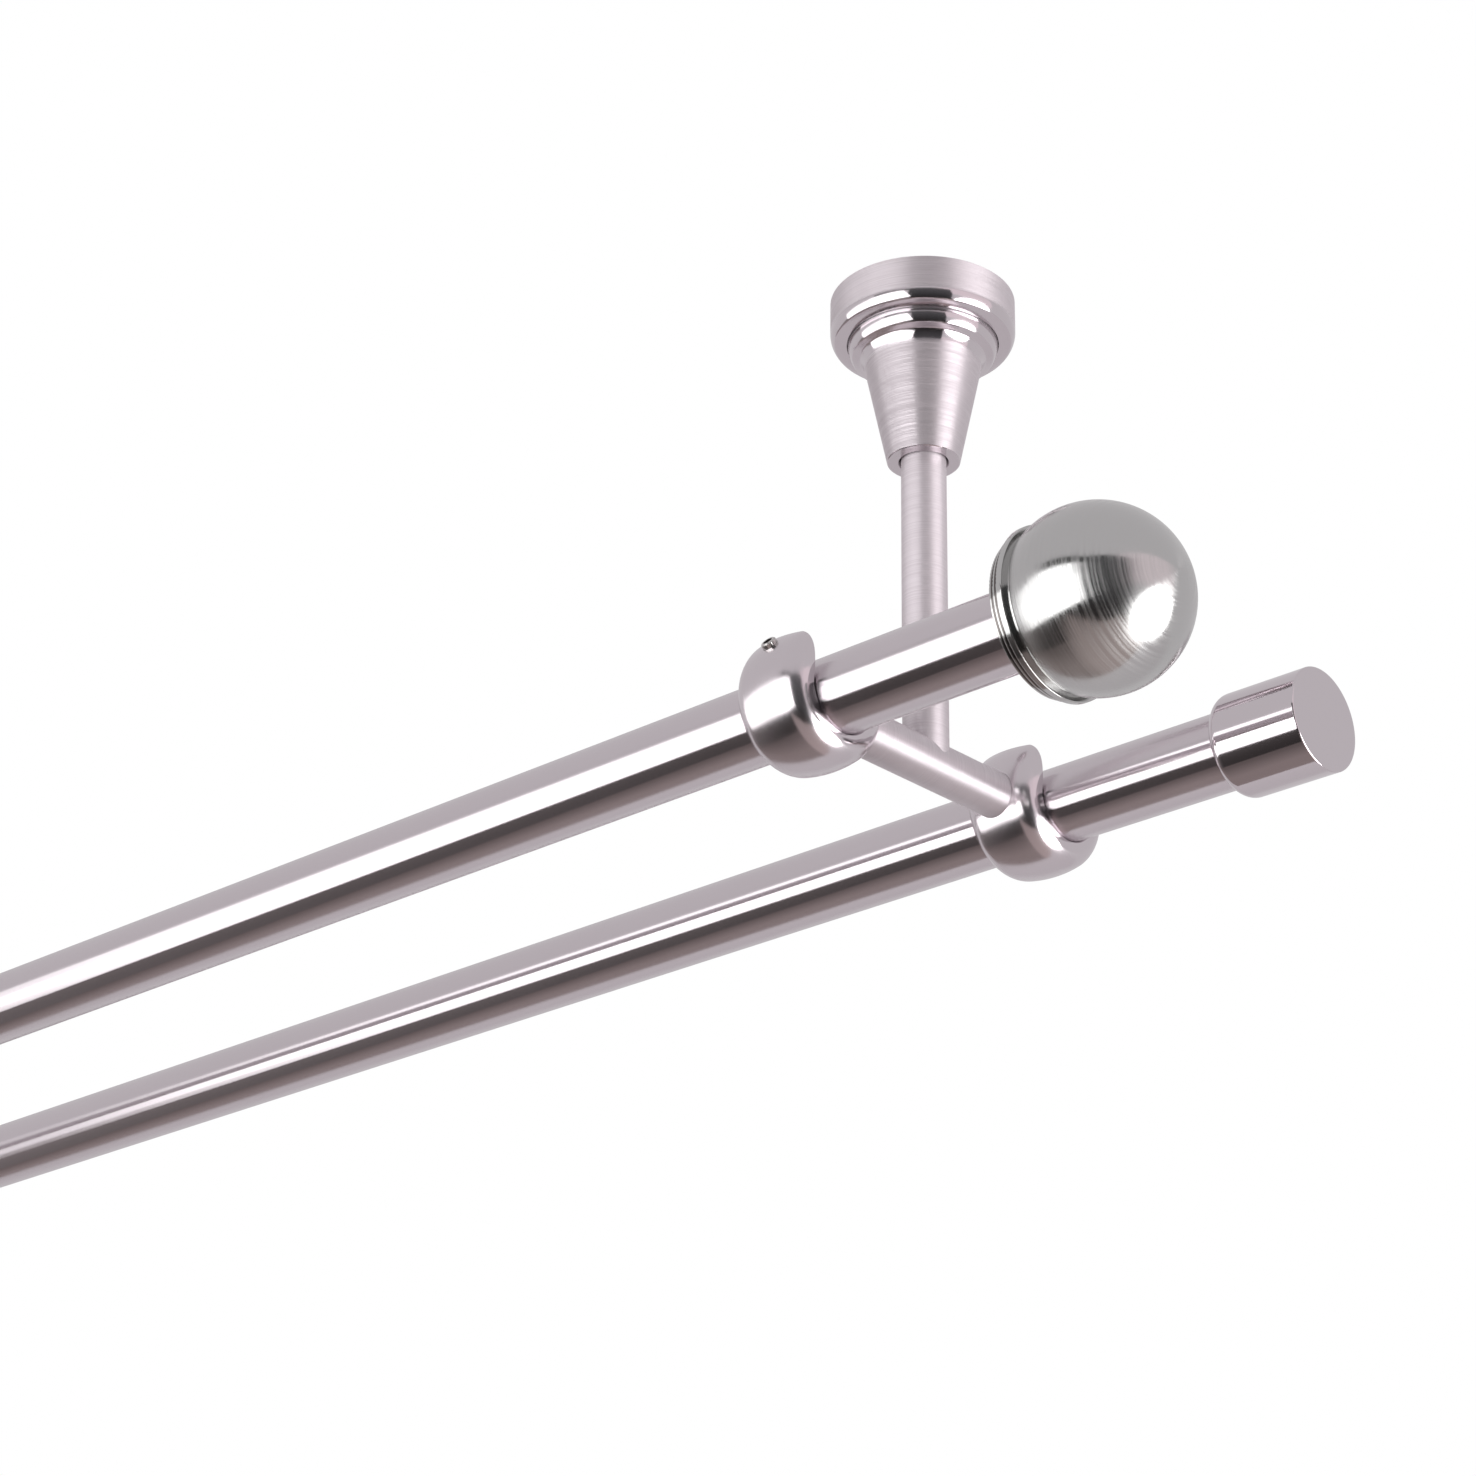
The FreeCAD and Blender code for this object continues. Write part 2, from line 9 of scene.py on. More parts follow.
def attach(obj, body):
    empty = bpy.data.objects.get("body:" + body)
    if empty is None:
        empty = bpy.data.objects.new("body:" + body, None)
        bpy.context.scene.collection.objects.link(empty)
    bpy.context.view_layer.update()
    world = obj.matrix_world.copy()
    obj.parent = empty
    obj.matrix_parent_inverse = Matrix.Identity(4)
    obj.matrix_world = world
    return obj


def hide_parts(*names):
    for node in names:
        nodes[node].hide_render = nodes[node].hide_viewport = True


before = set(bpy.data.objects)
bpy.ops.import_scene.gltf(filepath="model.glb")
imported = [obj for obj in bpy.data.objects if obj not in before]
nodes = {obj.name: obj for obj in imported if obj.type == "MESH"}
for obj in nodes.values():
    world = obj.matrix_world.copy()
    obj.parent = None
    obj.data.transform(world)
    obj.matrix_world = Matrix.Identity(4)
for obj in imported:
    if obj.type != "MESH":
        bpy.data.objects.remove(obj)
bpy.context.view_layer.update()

# Camera
# The photograph looks up at the right-hand bracket from below and from beyond the poles' ends,
# with a long lens. Its heading is counted from +Y towards -X, its roll clockwise.
CAMERA_PLACE = Vector((0.5157, -0.6165, -0.4943))
CAMERA_HEADING = 0.755115
CAMERA_RISE = 0.429125
CAMERA_ROLL = 0.016623
CAMERA_LENS = 86.01
SENSOR_WIDTH = 36
NEAREST_SEEN, FARTHEST_SEEN = 0.01, 50

lens = bpy.data.cameras.new("camera")
lens.lens = CAMERA_LENS
lens.sensor_width = SENSOR_WIDTH
lens.clip_start, lens.clip_end = NEAREST_SEEN, FARTHEST_SEEN
camera = bpy.data.objects.new("camera", lens)
bpy.context.scene.collection.objects.link(camera)
bpy.context.scene.camera = camera
ahead = Vector((-math.sin(CAMERA_HEADING) * math.cos(CAMERA_RISE),
                math.cos(CAMERA_HEADING) * math.cos(CAMERA_RISE), math.sin(CAMERA_RISE)))
level = Vector((math.cos(CAMERA_HEADING), math.sin(CAMERA_HEADING), 0))
raised = level.cross(ahead)
across = math.cos(CAMERA_ROLL) * level + math.sin(CAMERA_ROLL) * raised
upward = math.cos(CAMERA_ROLL) * raised - math.sin(CAMERA_ROLL) * level
camera.matrix_world = (Matrix.Translation(CAMERA_PLACE)
                       @ Matrix((across, upward, -ahead)).transposed().to_4x4())

# Tent
# A round tent of pale grey cloth encloses everything and glows evenly. The metal mirrors it
# wherever no box, table, card or wall is in the way. The camera looks through it.
TENT_RADIUS = 4.0
TENT_GREY = "#D6D3D5"


def linear(colour):
    """Turns an sRGB hex colour into linear red, green and blue with an alpha of 1."""
    shares = [int(colour[i:i + 2], 16) / 255 for i in (1, 3, 5)]
    return [s / 12.92 if s <= 0.04045 else ((s + 0.055) / 1.055) ** 2.4 for s in shares] + [1]


def add_node(tree, kind, values=None, links=None, **settings):
    """Adds a node. Settings are its own properties, values are constants on its inputs, and links
    are the outputs of other nodes that feed its inputs."""
    node = tree.nodes.new(kind)
    for name, value in settings.items():
        setattr(node, name, value)
    for name, value in (values or {}).items():
        node.inputs[name].default_value = value
    for name, source in (links or {}).items():
        tree.links.new(source, node.inputs[name])
    return node


def new_material(name):
    """Makes a material with an empty node tree."""
    material = bpy.data.materials.new(name)
    material.use_nodes = True
    material.node_tree.nodes.clear()
    return material, material.node_tree


def grid_mesh(name, points, closed_u=False, closed_v=False):
    """Makes a mesh object from an array of points of shape (rows, columns, 3), joined to quads in
    both directions; a closed direction runs on from its last line of points to its first."""
    rows, columns = points.shape[:2]
    u = np.arange(rows if closed_u else rows - 1)[:, None]
    v = np.arange(columns if closed_v else columns - 1)[None, :]
    corners = [(u + du) % rows * columns + (v + dv) % columns
               for du, dv in ((0, 0), (1, 0), (1, 1), (0, 1))]
    faces = np.stack([np.broadcast_to(c, np.broadcast_shapes(u.shape, v.shape)) for c in corners],
                     axis=-1)
    mesh = bpy.data.meshes.new(name)
    mesh.from_pydata(points.reshape(-1, 3).tolist(), [], faces.reshape(-1, 4).tolist())
    thing = bpy.data.objects.new(name, mesh)
    bpy.context.scene.collection.objects.link(thing)
    return thing


def glowing_cloth(name, colour, dark, bright=None, slope=(0, 0, 1), start=0.0, finish=1.0):
    """Cloth that glows, but isn't sampled as a lamp, because it is there to be mirrored. Its
    strength goes from dark to bright as the weighted sum of the place's x, y and z, with the
    weights in slope, goes from start to finish. Without bright it glows evenly."""
    material, tree = new_material(name)
    place = add_node(tree, "ShaderNodeTexCoord").outputs["Object"]
    run = add_node(tree, "ShaderNodeVectorMath", {1: slope}, {0: place},
                   operation="DOT_PRODUCT").outputs["Value"]
    strength = add_node(tree, "ShaderNodeMapRange",
                        {"From Min": start, "From Max": finish, "To Min": dark,
                         "To Max": dark if bright is None else bright}, {"Value": run}).outputs["Result"]
    light = add_node(tree, "ShaderNodeEmission", {"Color": linear(colour)},
                     {"Strength": strength}).outputs[0]
    add_node(tree, "ShaderNodeOutputMaterial", links={"Surface": light})
    material.cycles.emission_sampling = "NONE"
    return material


def hang(sheet, cloth, over_floor=False):
    """Covers a sheet of the studio with its cloth, out of the camera's sight. A sheet that hangs
    over the floor puts no light and no shadow on it."""
    sheet.data.materials.append(cloth)
    sheet.visible_camera = False
    sheet.visible_diffuse = sheet.visible_shadow = not over_floor


lower, around = np.meshgrid(np.linspace(0, math.pi, 33),
                            np.linspace(0, 2 * math.pi, 64, endpoint=False), indexing="ij")
sphere = TENT_RADIUS * np.stack([np.sin(lower) * np.cos(around), np.sin(lower) * np.sin(around),
                                 np.cos(lower)], axis=-1)
hang(grid_mesh("tent", sphere, closed_v=True), glowing_cloth("tent_cloth", TENT_GREY, dark=1.0))

# Table, dark ground and camera flag
# A dark wooden table with a lighter leaf stands below the part, dark cloth is spread before it, and
# a black card hangs beside the camera. The metal mirrors them as its dark parts. Each has a pale
# tint here, and the faint glow makes it dark.
WOOD_TINT = "#FFEBE8"
TABLE_LEVEL = -0.63
TABLE_BACK = 0.245
TABLE_FRONT = ((-2.4, 0.22), (-0.08, -0.3))
LEAF_FRONT = ((-0.08, -0.82), (0.16, -0.54), (0.36, -0.32), (0.6, -0.22))
GROUND_TINT = "#FFF3F2"
GROUND_LEVEL = TABLE_LEVEL - 0.01
GROUND_BACK = 0.2
GROUND_FRONT = ((-2.4, -1.15), (0.9, -1.15))
FLAG_TINT = "#FBFBFF"
FLAG_CENTRE = Vector((0.77, -0.66, -0.33))
FLAG_AIM = Vector((0.087, -0.044, -0.133))
FLAG_HALF_WIDTH, FLAG_HALF_HEIGHT = 0.5, 0.7


def level_sheet(name, front, back, height):
    """Level sheet at one height, from the points x and y of its front edge back to y = back."""
    return grid_mesh(name, np.array([[(x, near, height), (x, back, height)] for x, near in front]))


hang(level_sheet("table_top", TABLE_FRONT, TABLE_BACK, TABLE_LEVEL),
     glowing_cloth("table_wood", WOOD_TINT, dark=0.15, bright=0.3, slope=(0.1, 1, 0), start=-0.23,
                   finish=0.01), over_floor=True)
hang(level_sheet("table_leaf", LEAF_FRONT, TABLE_BACK, TABLE_LEVEL),
     glowing_cloth("leaf_wood", WOOD_TINT, dark=0.33, bright=0.5, slope=(0, 1, 0), start=-0.6,
                   finish=0.1), over_floor=True)
hang(level_sheet("dark_ground", GROUND_FRONT, GROUND_BACK, GROUND_LEVEL),
     glowing_cloth("ground_cloth", GROUND_TINT, dark=0.03, bright=0.25, slope=(-1, 0, 0), start=0.2,
                   finish=1.4), over_floor=True)

facing = (FLAG_AIM - FLAG_CENTRE).normalized()
sideways = facing.cross(Vector((0, 0, 1))).normalized()
rising = sideways.cross(facing)
card = [[FLAG_CENTRE + sideways * s + rising * t for t in (-FLAG_HALF_HEIGHT, FLAG_HALF_HEIGHT)]
        for s in (-FLAG_HALF_WIDTH, FLAG_HALF_WIDTH)]
hang(grid_mesh("camera_flag", np.array(card)),
     glowing_cloth("flag_cloth", FLAG_TINT, dark=0.01, bright=0.11, start=-0.9, finish=0.2),
     over_floor=True)

# Pinkish wall
# A wall painted a pale pink stands far out to the right of the part, beyond the flag. The ball
# mirrors it as a pinkish patch.
WALL_PINK = "#F6E9ED"
WALL_FOOT, WALL_HEAD = -0.2, 0.77
WALL_ENDS = ((2.09, -2.74), (1.41, 1.1))
hang(grid_mesh("pink_wall", np.array([[(x, y, WALL_FOOT), (x, y, WALL_HEAD)] for x, y in WALL_ENDS])),
     glowing_cloth("wall_paint", WALL_PINK, dark=1.0))

# Floor
# A pale matt floor lies far below the ceiling and takes the part's shadow. It fades out round its
# edge, and it is clear from below, so that a view from under it shows the part.
FLOOR_PALE = "#F2F0F1"
FLOOR_LEVEL = -1.0
FLOOR_HALF = 5.0
FADE_START, FADE_END = 2.0, 3.6

floor = level_sheet("floor", ((-FLOOR_HALF, -FLOOR_HALF), (FLOOR_HALF, -FLOOR_HALF)), FLOOR_HALF,
                    FLOOR_LEVEL)
pale, tree = new_material("pale_floor")
place = add_node(tree, "ShaderNodeTexCoord").outputs["Object"]
distance = add_node(tree, "ShaderNodeVectorMath", links={0: place}, operation="LENGTH").outputs["Value"]
faded = add_node(tree, "ShaderNodeMapRange", {"From Min": FADE_START, "From Max": FADE_END},
                 {"Value": distance}, interpolation_type="SMOOTHSTEP").outputs["Result"]
under = add_node(tree, "ShaderNodeNewGeometry").outputs["Backfacing"]
faded = add_node(tree, "ShaderNodeMath", links={0: faded, 1: under}, operation="MAXIMUM").outputs[0]
matt = add_node(tree, "ShaderNodeBsdfDiffuse", {"Color": linear(FLOOR_PALE)}).outputs[0]
clear = add_node(tree, "ShaderNodeBsdfTransparent").outputs[0]
blend = add_node(tree, "ShaderNodeMixShader", links={0: faded, 1: matt, 2: clear}).outputs[0]
add_node(tree, "ShaderNodeOutputMaterial", links={"Surface": blend})
floor.data.materials.append(pale)

# Soft boxes
# A wide soft box stands in front on the left, brighter at the end near the camera and dimmer in
# its upper part, with a dull rim over it, and a round one on the right. They light the part, and
# the metal mirrors them as its bright bands.

# A place is a centre, heading, rise and roll. A column is a name, shift, width and radiance, and a
# row is a name, shift, height and share of its column's radiance.
FRONT_BOX = ((-0.32, -0.592, -0.192), -9.7, -14.5, 2)
FRONT_COLUMNS = (("far", -0.279, 0.662, 1.85), ("near", 0.331, 0.558, 2.7))
FRONT_ROWS = (("lower", -0.0825, 0.388, 1.0), ("upper", 0.198, 0.157, 0.65))
RIM_START, RIM_END = -0.2, 0.45
RIM_FOOT, RIM_HEAD = 0.079, 0.22
RIM_GLOW = 0.08
ROUND_BOX = ((0.653, 0.163, -0.361), 133, -38, 0)
ROUND_WIDTH, ROUND_HEIGHT = 0.6, 0.66
ROUND_RADIANCE = 4.0


def soft_box(name, shape, centre, heading, rise, roll, width, height, radiance, shift=(0, 0)):
    """Soft box whose back looks along a heading from -Y towards +X and a rise above level, shifted
    along its own width and height; its power is radiance times pi times its rectangle's area."""
    lamp = bpy.data.lights.new(name, "AREA")
    lamp.shape = shape
    lamp.size, lamp.size_y = width, height
    lamp.energy = radiance * math.pi * width * height
    heading, rise, roll = (math.radians(angle) for angle in (heading, rise, roll))
    away = Vector((math.sin(heading) * math.cos(rise), -math.cos(heading) * math.cos(rise),
                   math.sin(rise)))
    thing = bpy.data.objects.new(name, lamp)
    bpy.context.scene.collection.objects.link(thing)
    thing.visible_camera = False
    thing.matrix_world = (Matrix.Translation(centre) @ away.to_track_quat("Z", "Y").to_matrix().to_4x4()
                          @ Matrix.Rotation(roll, 4, "Z") @ Matrix.Translation((*shift, 0)))
    return thing


for column, along, width, radiance in FRONT_COLUMNS:
    for row, up, height, share in FRONT_ROWS:
        box = soft_box(f"{row}_{column}_soft_box", "RECTANGLE", *FRONT_BOX, width, height,
                       share * radiance, (along, up))
# The rim is measured from the last box made, the upper near one, and stands in its plane.
rim = [[box.matrix_world @ Vector((a, b, 0)) for b in (RIM_FOOT, RIM_HEAD)]
       for a in (RIM_START, RIM_END)]
hang(grid_mesh("box_rim", np.array(rim)), glowing_cloth("rim_cloth", "#FFFFFF", dark=RIM_GLOW))
soft_box("round_soft_box", "ELLIPSE", *ROUND_BOX, ROUND_WIDTH, ROUND_HEIGHT, ROUND_RADIANCE)

# White background
# The background is white where the camera sees it, or a mirror or glass shows it, and a little
# dimmer as light on the part.
BACKGROUND_SEEN = 1.0
BACKGROUND_LIGHT = 0.8

world = bpy.data.worlds.new("white_background")
bpy.context.scene.world = world
world.use_nodes = True
tree = world.node_tree
tree.nodes.clear()
ray = add_node(tree, "ShaderNodeLightPath").outputs
direct = add_node(tree, "ShaderNodeMath", links={0: ray["Is Camera Ray"], 1: ray["Is Glossy Ray"]},
                  operation="MAXIMUM").outputs[0]
direct = add_node(tree, "ShaderNodeMath", links={0: direct, 1: ray["Is Transmission Ray"]},
                  operation="MAXIMUM").outputs[0]
strength = add_node(tree, "ShaderNodeMapRange",
                    {"To Min": BACKGROUND_LIGHT, "To Max": BACKGROUND_SEEN},
                    {"Value": direct}).outputs["Result"]
sky = add_node(tree, "ShaderNodeBackground", {"Color": (1, 1, 1, 1)}, {"Strength": strength}).outputs[0]
add_node(tree, "ShaderNodeOutputWorld", links={"Surface": sky})
bpy.context.scene.view_settings.view_transform = "Standard"

# Ceiling plates
# Each bracket hangs on a steel disc with a threaded hub, turned in one piece and zinc plated.
# Three countersunk screws hold it to the ceiling, and the rose covers it.
MM = 0.001
SPAN = 850 * MM
BRACKETS = (("right", 0), ("left", -SPAN))

# The marks of a belt or a grinding wheel are about 0.05 mm apart, which is too fine to show, so
# each finish below draws them as coarse as it needs. Drift and clouds are counted per metre. A
# scratch sets in where the noise rises from SCRATCH_START to SCRATCH_FULL. Buffed bands and bands
# of painted shade have faded out at so many half widths from their middle.
MARK_DRIFT = 30
GLOSS_CLOUDS = 60.0
SCRATCH_START, SCRATCH_FULL = 0.42, 0.58
BUFFED_FADE = 1.5
# Painted shade in corners fades out over this many half widths and is mixed towards this dark grey.
PAINTED_SHADE_FADE = 1.1
PAINTED_SHADE_GREY = "#6A6664"
QUARTER_TURN = 0.25


def turned_metal(name, centre, axis, colour, roughness, grain, line_pitch, line_depth, haze=0.03,
                 scratched=None, matt=0.0, buffed=(), painted_shade_bands=()):
    """Metal as it comes from the lathe and the brushing belt. Noise of the distance along the axis
    and of the distance from it makes marks that are rings round the axis, about line_pitch apart,
    with line_depth as the depth of their bump, and a slow drift across them breaks them up. They
    smear a reflection along the axis and hardly round it, which grain sets from 0 to 1, a quarter
    turn from a tangent that runs round the axis. Haze is how far the roughness strays in clouds.
    Scratched is the roughness in the coarser marks, which glint all round, and matt is the share of
    light that the marks scatter evenly. Buffed lists bands along the axis that a polishing wheel
    has cleared of both: the middle, the half width and the roughness left there. The last list
    holds bands of painted shade, a dark grey for shade in corners: the middle and the half width."""
    material, tree = new_material(name)
    axle = [float(letter == axis) for letter in "xyz"]
    across = [1 - share for share in axle]
    place = add_node(tree, "ShaderNodeTexCoord").outputs["Object"]
    own = add_node(tree, "ShaderNodeVectorMath", {1: centre}, {0: place},
                   operation="SUBTRACT").outputs[0]
    along = add_node(tree, "ShaderNodeVectorMath", {1: axle}, {0: own},
                     operation="DOT_PRODUCT").outputs["Value"]
    spoke = add_node(tree, "ShaderNodeVectorMath", {1: across}, {0: own},
                     operation="MULTIPLY").outputs[0]
    reach = add_node(tree, "ShaderNodeVectorMath", links={0: spoke}, operation="LENGTH").outputs["Value"]
    ring = add_node(tree, "ShaderNodeCombineXYZ", links={"X": along, "Y": reach}).outputs[0]
    ring = add_node(tree, "ShaderNodeVectorMath", {"Scale": 1 / line_pitch}, {0: ring},
                    operation="SCALE").outputs[0]
    drift = add_node(tree, "ShaderNodeVectorMath", {1: [MARK_DRIFT * share for share in across]},
                     {0: own}, operation="DOT_PRODUCT").outputs["Value"]
    marks = add_node(tree, "ShaderNodeTexNoise", {"Scale": 1.0, "Detail": 3.0, "Roughness": 0.6},
                     {"Vector": ring, "W": drift}, noise_dimensions="4D").outputs["Fac"]
    lines = add_node(tree, "ShaderNodeBump", {"Strength": 1.0, "Distance": line_depth},
                     {"Height": marks}).outputs["Normal"]
    clouds = add_node(tree, "ShaderNodeTexNoise", {"Scale": GLOSS_CLOUDS, "Detail": 2.0},
                      {"Vector": own}).outputs["Fac"]
    gloss = add_node(tree, "ShaderNodeMapRange",
                     {"To Min": roughness - haze, "To Max": roughness + haze},
                     {"Value": clouds}).outputs["Result"]
    if scratched:
        gloss = add_node(tree, "ShaderNodeMapRange",
                         {"From Min": SCRATCH_START, "From Max": SCRATCH_FULL, "To Max": scratched},
                         {"Value": marks, "To Min": gloss}).outputs["Result"]
    mirror = add_node(tree, "ShaderNodeValue").outputs[0]
    mirror.default_value = 1.0 - matt
    shade = add_node(tree, "ShaderNodeRGB").outputs[0]
    shade.default_value = linear(colour)

    def distance_from(middle):
        """Distance along the axis from the middle of a band."""
        off = add_node(tree, "ShaderNodeMath", {1: middle}, {0: along}, operation="SUBTRACT").outputs[0]
        return add_node(tree, "ShaderNodeMath", links={0: off}, operation="ABSOLUTE").outputs[0]

    for middle, half, bright in buffed:
        off = distance_from(middle)
        fade = {"From Min": half, "From Max": BUFFED_FADE * half}
        gloss = add_node(tree, "ShaderNodeMapRange", {**fade, "To Min": bright},
                         {"Value": off, "To Max": gloss}).outputs["Result"]
        mirror = add_node(tree, "ShaderNodeMapRange", {**fade, "To Min": 1.0},
                          {"Value": off, "To Max": mirror}).outputs["Result"]
    # Painted shade: in these bands the base colour is mixed towards a dark grey, standing in for shade
    # in corners.
    for middle, half in painted_shade_bands:
        unshaded = add_node(tree, "ShaderNodeMapRange", {"From Min": half, "From Max": PAINTED_SHADE_FADE * half},
                         {"Value": distance_from(middle)}).outputs["Result"]
        shade = add_node(tree, "ShaderNodeMix", {6: linear(PAINTED_SHADE_GREY)}, {0: unshaded, 7: shade},
                         data_type="RGBA").outputs[2]
    tangent = add_node(tree, "ShaderNodeVectorMath", {0: axle}, {1: own},
                       operation="CROSS_PRODUCT").outputs[0]
    tangent = add_node(tree, "ShaderNodeVectorMath", links={0: tangent},
                       operation="NORMALIZE").outputs[0]
    metal = add_node(tree, "ShaderNodeBsdfPrincipled",
                     {"Anisotropic": grain, "Anisotropic Rotation": QUARTER_TURN},
                     {"Base Color": shade, "Metallic": mirror, "Roughness": gloss, "Normal": lines,
                      "Tangent": tangent}).outputs[0]
    add_node(tree, "ShaderNodeOutputMaterial", links={"Surface": metal})
    return material


def dress(name, material):
    """Gives a solid its finish."""
    nodes[name].data.materials.clear()
    nodes[name].data.materials.append(material)


# Zinc plate is blue-white and duller than nickel, over plain lathe marks.
ZINC_PLATE = {"colour": "#C3C7CC", "roughness": 0.36, "grain": 0.5, "line_pitch": 0.4 * MM,
              "line_depth": 0.006 * MM}
for side, x in BRACKETS:
    dress(f"{side}_ceiling_plate", turned_metal(f"{side}_zinc_plate", (x, 0, 0), "z", **ZINC_PLATE))

# Roses
# A rose is a turned brass cup, nickel plated, that slides up the cone and hides the ceiling plate.
# Its wall is brushed with a belt while it spins, and its rolled edge is buffed bright.
# The brushing stretches every reflection up and down the wall; the edge mirrors it sharply.
NICKEL = "#D5CED2"
WHEEL_GLOSS = 0.12
TURNS = 192
SHARP_CORNER = math.radians(25)
ROSE_FOOT = -12.6
ROLLED_EDGE = (-11.2 * MM, 1.7 * MM, WHEEL_GLOSS)


def walk_down(start, lengths, tilts, steps=40):
    """Outline of a turned rounding, as radii and heights. The surface's tilt from upright goes from
    knot to knot with the length walked; a step takes the radius in by its sine, the height down by
    its cosine."""
    walked = np.linspace(0, lengths[-1], steps + 1)
    tilt = np.radians(np.interp((walked[1:] + walked[:-1]) / 2, lengths, tilts))
    step = np.diff(walked)[:, None] * np.stack([-np.sin(tilt), -np.cos(tilt)], axis=-1)
    return np.vstack([[start], start + np.cumsum(step, axis=0)])


def turn(name, outline, x):
    """Body of revolution: each point of a closed outline, radius r and height z, is carried round
    the upright line through x at the angle u, to (x + r cos u, r sin u, z). The outline runs down
    the inside and up the outside."""
    around = np.linspace(0, 2 * math.pi, TURNS, endpoint=False)[:, None]
    radius, height = MM * outline.T
    points = np.stack([x + radius * np.cos(around), radius * np.sin(around),
                       np.broadcast_to(height, (TURNS, len(height)))], axis=-1)
    thing = grid_mesh(name, points, closed_u=True, closed_v=True)
    thing.data.shade_smooth()
    thing.data.set_sharp_from_angle(angle=SHARP_CORNER)
    return thing


# Outlines are in millimetres, as radius and height.
bore = [(22.8, 0), (22.8, -11), (20.05, -11), (20.05, ROSE_FOOT)]
edge = walk_down((24.4, 0), (0, 3.1, 3.5, 6.4), (0, 37, 78, 88))
edge[:, 1] += ROSE_FOOT - edge[-1, 1]
brim = [(24.4, -0.2), (24.2, 0)]
rose_outline = np.vstack([bore, edge[::-1], brim])
for side, x in BRACKETS:
    rose = turn(f"{side}_rolled_rose", rose_outline, x)
    rose.data.materials.append(turned_metal(
        f"{side}_rose_brushed_nickel", (x, 0, 0), "z", NICKEL, roughness=0.38, grain=0.85,
        line_pitch=0.15 * MM, line_depth=0.004 * MM, scratched=0.8, matt=0.15, buffed=[ROLLED_EDGE]))
    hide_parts(f"{side}_rose")
    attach(rose, "root")

# Cones
# A cone is turned from brass and nickel plated; its flange rests on the rose's inner lip.
# Below the ring an ogee, convex and then hollow, runs into the sloping wall. The wall is brushed
# all round, and the ogee and the rim of the foot are buffed, so that they mirror sharply.
CONE_FOOT = -47.8
BUFFED_OGEE = (-16.2 * MM, 2.8 * MM, WHEEL_GLOSS)
BUFFED_FOOT = (CONE_FOOT * MM, 0.2 * MM, WHEEL_GLOSS)

hollow = [(14.2, -9.5), (14.2, -16.6), (7.9, -46.2), (6.4, -46.2)]
foot = [(6.4, -47.6), (6.6, CONE_FOOT), (9.3, CONE_FOOT), (9.52, -47.6)]
ogee = walk_down((19.7, -13.1), (0, 3.3, 3.6, 5.4, 5.7, 8.6), (0, 37, 74, 74, 37, 11.4))
flange = [(19.7, -11), (21.7, -11), (21.7, -9.5)]
cone_outline = np.vstack([hollow, foot, ogee[::-1], flange])
for side, x in BRACKETS:
    cone = turn(f"{side}_ogee_cone", cone_outline, x)
    cone.data.materials.append(turned_metal(
        f"{side}_cone_brushed_nickel", (x, 0, 0), "z", NICKEL, roughness=0.38, grain=0.92,
        line_pitch=0.15 * MM, line_depth=0.004 * MM, scratched=0.8, matt=0.17,
        buffed=[BUFFED_OGEE, BUFFED_FOOT]))
    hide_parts(f"{side}_cone")
    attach(cone, "root")

# Stems, arms and their studs
# The stem screws into the ceiling plate's hub, and its foot sits on the arm that crosses below it.
# Both are brass rods, ground, nickel plated and finely brushed, so they look soft and silky, the
# stem more so. A zinc-plated steel stud joins them.
POLE_LEVEL = -133 * MM
for side, x in BRACKETS:
    dress(f"{side}_stem", turned_metal(
        f"{side}_stem_brushed_nickel", (x, 0, 0), "z", NICKEL, roughness=0.42, grain=0.75,
        line_pitch=0.15 * MM, line_depth=0.003 * MM, scratched=0.8, matt=0.22))
    dress(f"{side}_arm", turned_metal(
        f"{side}_arm_brushed_nickel", (x, 0, POLE_LEVEL), "y", NICKEL, roughness=0.34, grain=0.8,
        line_pitch=0.2 * MM, line_depth=0.005 * MM, scratched=0.7, matt=0.1))
    dress(f"{side}_arm_stud", turned_metal(f"{side}_stud_zinc", (x, 0, 0), "z", **ZINC_PLATE))

# Saddles and their screws
# A saddle is a brass barrel, bored for the pole, milled open at the top, nickel plated and polished
# by hand, so its reflections are clear in the middle and a little ragged at their edges. A headless
# steel screw with a hexagon socket goes through its outer wall on to the pole.
POLE_OFFSET = 43.5 * MM
POLE_ROWS = (("front", -POLE_OFFSET), ("rear", POLE_OFFSET))

# The lips at both ends of a saddle are buffed and show as fine bright lines.
LIP_PLACE = 10.75 * MM
LIP_HALF = 0.3 * MM
LIP_GLOSS = 0.1

# Bare steel mirrors clearly and is a little darker than the nickel.
BRIGHT_STEEL = {"colour": "#C4C1BF", "roughness": 0.2, "grain": 0.0, "line_pitch": 0.3 * MM,
                "line_depth": 0.004 * MM}

lips = [(end * LIP_PLACE, LIP_HALF, LIP_GLOSS) for end in (-1, 1)]
for side, x in BRACKETS:
    for row, y in POLE_ROWS:
        dress(f"{side}_{row}_saddle", turned_metal(
            f"{side}_{row}_saddle_polished_nickel", (x, y, POLE_LEVEL), "x", NICKEL, roughness=0.22,
            grain=0.3, line_pitch=0.9 * MM, line_depth=0.012 * MM, haze=0.07, buffed=lips))
        dress(f"{side}_{row}_screw", turned_metal(
            f"{side}_{row}_screw_steel", (x, y, POLE_LEVEL), "x", **BRIGHT_STEEL))

# Poles
# Each pole is a welded steel tube, ground and polished in one pass through a centreless grinder,
# then nickel plated. The grinding lines run round it, so the bands of light along it stay crisp.
for row, y in POLE_ROWS:
    dress(f"{row}_pole", turned_metal(
        f"{row}_pole_ground_nickel", (0, y, POLE_LEVEL), "x", NICKEL, roughness=0.16, grain=1.0,
        line_pitch=0.9 * MM, line_depth=0.006 * MM, haze=0.02))

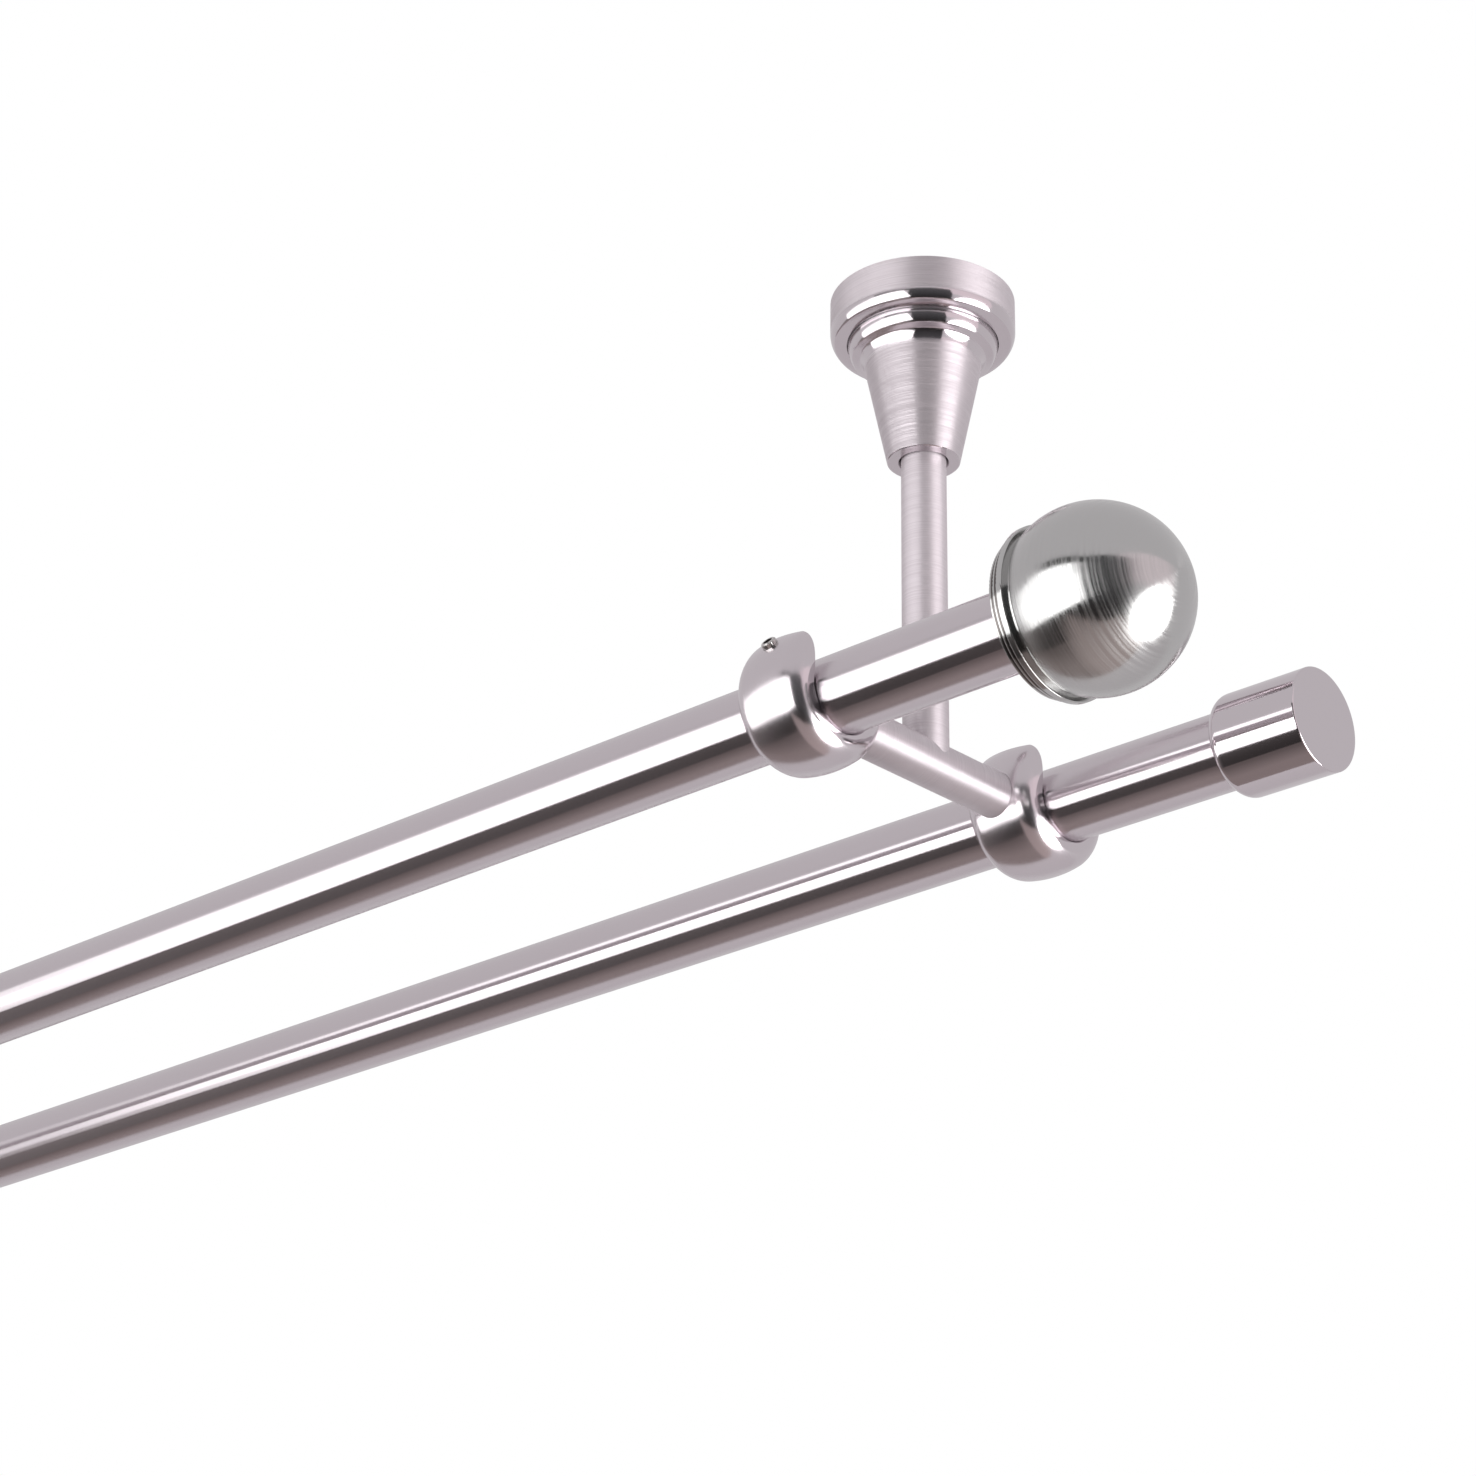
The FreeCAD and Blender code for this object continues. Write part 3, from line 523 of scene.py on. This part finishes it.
# Ball finials of the front pole
# A ball and its ringed collar are turned from brass, polished and nickel plated, and mirror the
# studio clearly, a little greener than the rest. A zinc-plated stud ties them to a plug of moulded
# nylon, pressed into the tube.
BALL_NICKEL = "#C3C3C2"
POLE_END = 75 * MM

# Painted shade: dark lines in the corners beside the collar's rings, so far back from the pole's
# end, stand in for the shade that falls there.
RING_CORNERS = (2.45 * MM, 0.78 * MM)
PAINTED_SHADE_HALF = 0.5 * MM

# Nylon is dull, with a fine grain from its mould.
PLUG_GREY = "#3B3B3D"
PLUG_GRAIN = 0.4 * MM
PLUG_GRAIN_DEPTH = 0.01 * MM
PLUG_ROUGHNESS = 0.45
NYLON_IOR = 1.53

for (side, x), outward in zip(BRACKETS, (1, -1)):
    centre = (x, -POLE_OFFSET, POLE_LEVEL)
    # The collar gets painted shade: dark lines in the corners beside its rings.
    corner_shade = [(outward * (POLE_END - back), PAINTED_SHADE_HALF) for back in RING_CORNERS]
    dress(f"{side}_ball", turned_metal(
        f"{side}_ball_polished_nickel", centre, "x", BALL_NICKEL, roughness=0.15, grain=0.8,
        line_pitch=0.5 * MM, line_depth=0.02 * MM, scratched=0.27))
    dress(f"{side}_collar", turned_metal(
        f"{side}_collar_polished_nickel", centre, "x", BALL_NICKEL, roughness=0.12, grain=0.3,
        line_pitch=0.4 * MM, line_depth=0.003 * MM, painted_shade_bands=corner_shade))
    dress(f"{side}_finial_stud", turned_metal(f"{side}_finial_stud_zinc", centre, "x", **ZINC_PLATE))

    plug, tree = new_material(f"{side}_plug_nylon")
    place = add_node(tree, "ShaderNodeTexCoord").outputs["Object"]
    grit = add_node(tree, "ShaderNodeTexNoise", {"Scale": 1 / PLUG_GRAIN, "Detail": 2.0},
                    {"Vector": place}).outputs["Fac"]
    skin = add_node(tree, "ShaderNodeBump", {"Strength": 1.0, "Distance": PLUG_GRAIN_DEPTH},
                    {"Height": grit}).outputs["Normal"]
    nylon = add_node(tree, "ShaderNodeBsdfPrincipled",
                     {"Base Color": linear(PLUG_GREY), "Roughness": PLUG_ROUGHNESS, "IOR": NYLON_IOR},
                     {"Normal": skin}).outputs[0]
    add_node(tree, "ShaderNodeOutputMaterial", links={"Surface": nylon})
    dress(f"{side}_plug", plug)

# Caps of the rear pole
# A cap is a turned brass cup, polished bright and nickel plated, which slides over the tube's end.
# It mirrors the studio almost cleanly. A small steel screw on its far side holds it.
for side, x in BRACKETS:
    centre = (x, POLE_OFFSET, POLE_LEVEL)
    dress(f"{side}_cap", turned_metal(
        f"{side}_cap_polished_nickel", centre, "x", NICKEL, roughness=0.09, grain=0.0,
        line_pitch=0.9 * MM, line_depth=0.0003 * MM, haze=0.02))
    dress(f"{side}_cap_screw", turned_metal(f"{side}_cap_screw_steel", centre, "x", **BRIGHT_STEEL))
